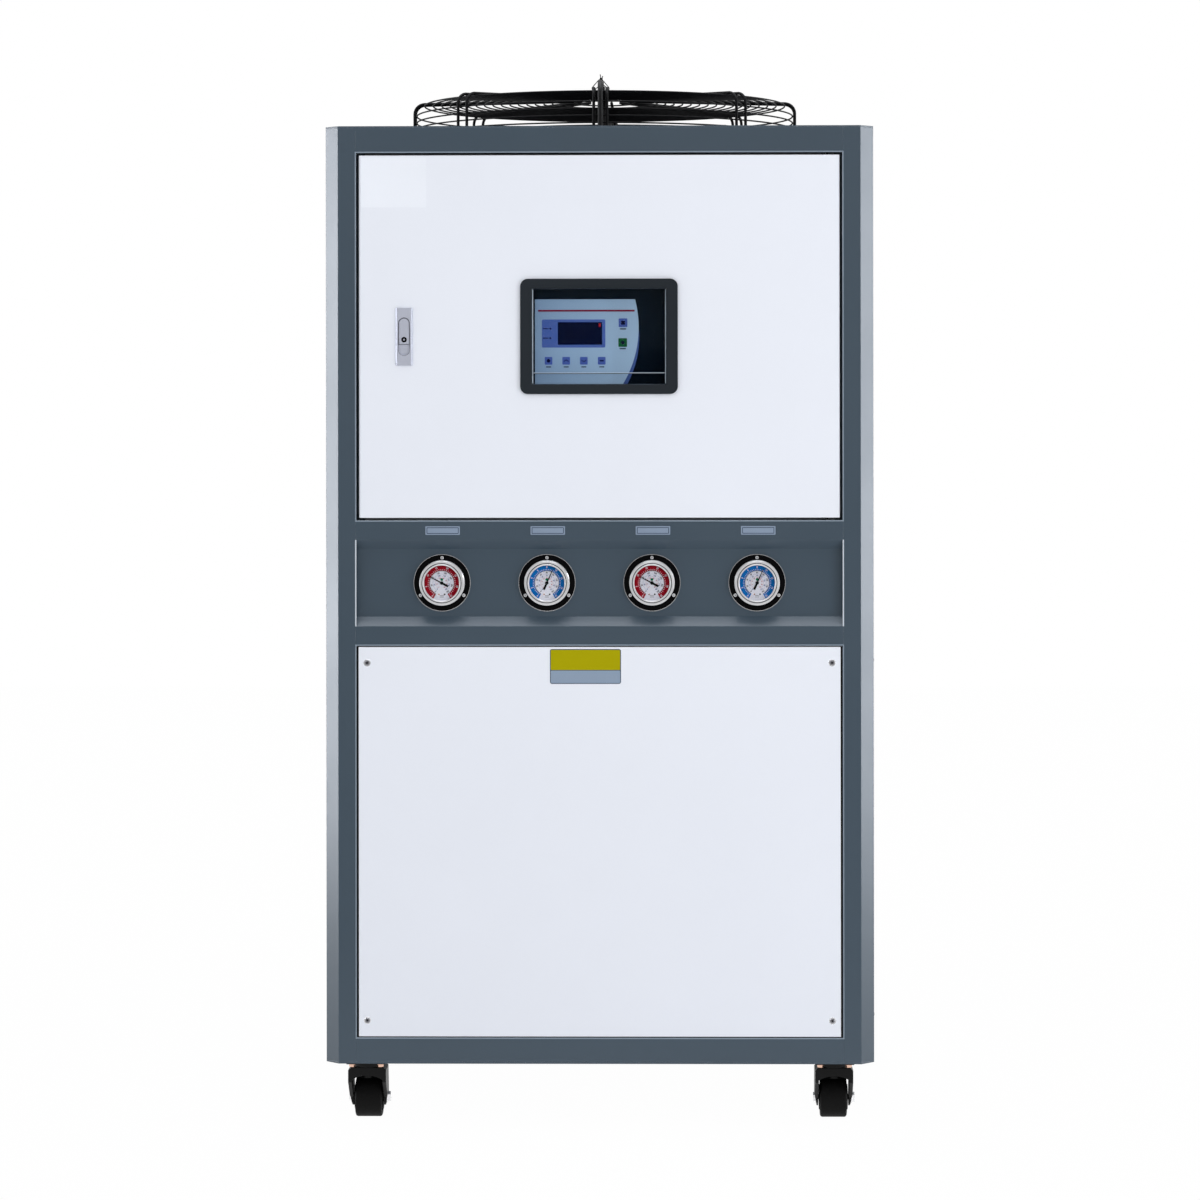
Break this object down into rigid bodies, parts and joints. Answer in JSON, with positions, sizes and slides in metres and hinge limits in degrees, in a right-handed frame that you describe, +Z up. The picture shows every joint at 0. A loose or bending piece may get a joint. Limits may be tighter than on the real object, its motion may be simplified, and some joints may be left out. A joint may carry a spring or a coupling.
{
  "type": "water chiller",
  "caption": "Air cooled water chiller in a sheet metal cabinet on swivel casters, with a hinged control door, a recessed row of pressure gauges and caged roof fans.",
  "frame": {"origin": "on the floor, at the middle of the bounding box", "axes": "+Z up, +X to the right seen from the front, the front faces -Y"},
  "size_m": [0.82, 1.5, 1.5725],
  "materials": {
    "slate_paint": "satin",
    "white_paint": "satin",
    "black_plastic": "satin",
    "clear_plastic": "gloss",
    "controller_face": "satin",
    "bright_metal": "polished",
    "dial_face": "matt",
    "black_paint": "satin",
    "zinc_sheet": "satin",
    "coil_aluminium": "satin",
    "brass": "satin",
    "wheel_nylon": "satin"
  },
  "bodies": {
    "cabinet": {"front_posts": "slate_paint", "rear_posts": "slate_paint", "front_rails": "slate_paint", "gauge_panel": "slate_paint", "side_rails": "slate_paint", "rear_rails": "slate_paint", "middle_posts": "slate_paint", "base_plate": "slate_paint", "roof": "slate_paint", "fan_cowls": "slate_paint", "front_lower_panel": "white_paint", "side_lower_panels": "white_paint", "rear_upper_panel": "white_paint", "rear_lower_panel": "white_paint", "gauge_cases": "black_plastic", "cable_gland": "black_plastic", "gauge_lenses": "clear_plastic", "gauge_bezels": "bright_metal", "gauge_dials": "dial_face", "gauge_needles": "black_paint", "front_guard": "black_paint", "rear_guard": "black_paint", "motor_leads": "black_paint", "fan_motors": "black_paint", "fan_rotors": "black_paint", "caster_plates": "black_paint", "drip_tray": "zinc_sheet", "control_box": "zinc_sheet", "mounting_plate": "zinc_sheet", "coils": "coil_aluminium", "water_sockets": "brass", "drain_socket": "brass"},
    "door": {"front_door": "white_paint", "hinge_pins": "black_paint", "window_frame": "black_plastic", "window_pane": "clear_plastic", "controller": "controller_face", "lock_body": "bright_metal"},
    "lever": {"lock_lever": "bright_metal"},
    "caster_front_left": {"fork_front_left": "black_paint"},
    "roller_front_left": {"wheel_front_left": "wheel_nylon"},
    "caster_front_right": {"fork_front_right": "black_paint"},
    "roller_front_right": {"wheel_front_right": "wheel_nylon"},
    "caster_rear_left": {"fork_rear_left": "black_paint"},
    "roller_rear_left": {"wheel_rear_left": "wheel_nylon"},
    "caster_rear_right": {"fork_rear_right": "black_paint"},
    "roller_rear_right": {"wheel_rear_right": "wheel_nylon"}
  },
  "joints": [
    {"name": "door_hinge", "type": "hinge", "parent": "cabinet", "child": "door", "pos_m": [0.339, -0.738, 1.179], "axis": [0, 0, 1], "range_deg": [0, 120]},
    {"name": "lever_hinge", "type": "hinge", "parent": "door", "child": "lever", "pos_m": [-0.291, -0.7457, 1.2], "axis": [-1, 0, 0], "range_deg": [0, 30]},
    {"name": "swivel_front_left", "type": "hinge", "parent": "cabinet", "child": "caster_front_left", "pos_m": [-0.351, -0.686, 0.075], "axis": [0, 0, 1], "continuous": true},
    {"name": "roll_front_left", "type": "hinge", "parent": "caster_front_left", "child": "roller_front_left", "pos_m": [-0.351, -0.664, 0.03], "axis": [1, 0, 0], "continuous": true},
    {"name": "swivel_front_right", "type": "hinge", "parent": "cabinet", "child": "caster_front_right", "pos_m": [0.351, -0.686, 0.075], "axis": [0, 0, 1], "continuous": true},
    {"name": "roll_front_right", "type": "hinge", "parent": "caster_front_right", "child": "roller_front_right", "pos_m": [0.351, -0.664, 0.03], "axis": [1, 0, 0], "continuous": true},
    {"name": "swivel_rear_left", "type": "hinge", "parent": "cabinet", "child": "caster_rear_left", "pos_m": [-0.351, 0.646, 0.075], "axis": [0, 0, 1], "continuous": true},
    {"name": "roll_rear_left", "type": "hinge", "parent": "caster_rear_left", "child": "roller_rear_left", "pos_m": [-0.351, 0.668, 0.03], "axis": [1, 0, 0], "continuous": true},
    {"name": "swivel_rear_right", "type": "hinge", "parent": "cabinet", "child": "caster_rear_right", "pos_m": [0.351, 0.646, 0.075], "axis": [0, 0, 1], "continuous": true},
    {"name": "roll_rear_right", "type": "hinge", "parent": "caster_rear_right", "child": "roller_rear_right", "pos_m": [0.351, 0.668, 0.03], "axis": [1, 0, 0], "continuous": true}
  ]
}
